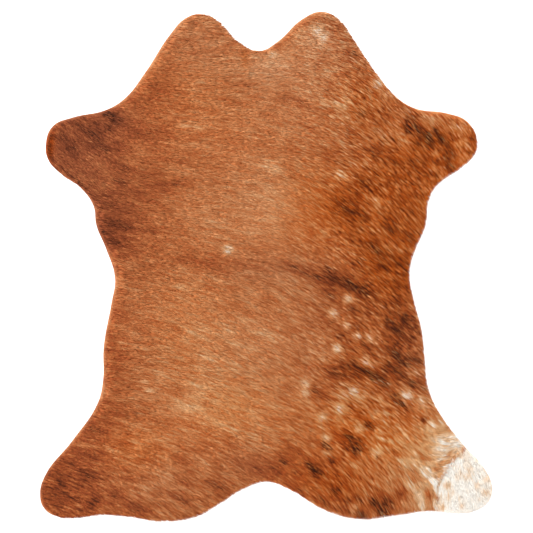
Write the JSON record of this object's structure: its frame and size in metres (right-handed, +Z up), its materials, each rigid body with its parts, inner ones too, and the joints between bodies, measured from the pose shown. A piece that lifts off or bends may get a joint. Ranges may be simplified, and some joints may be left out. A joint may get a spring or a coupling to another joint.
{
  "type": "cowhide rug",
  "caption": "Hair-on cowhide rug lying flat, cut to the outline of a hide with ears, forelegs and hind legs, in brindled red-brown hair with a white lower leg.",
  "frame": {"origin": "on the floor, under the middle of the hide's box", "axes": "+Z up through the hair, +Y along the spine towards the neck, +X towards the white hind leg"},
  "size_m": [0.796, 0.8974, 0.0068],
  "materials": {
    "hide": "short glossy natural hair, brindled red-brown with a white lower hind leg, on a tanned hide with a bare suede back"
  },
  "bodies": {
    "root": {"cowhide": "hide"}
  },
  "joints": []
}
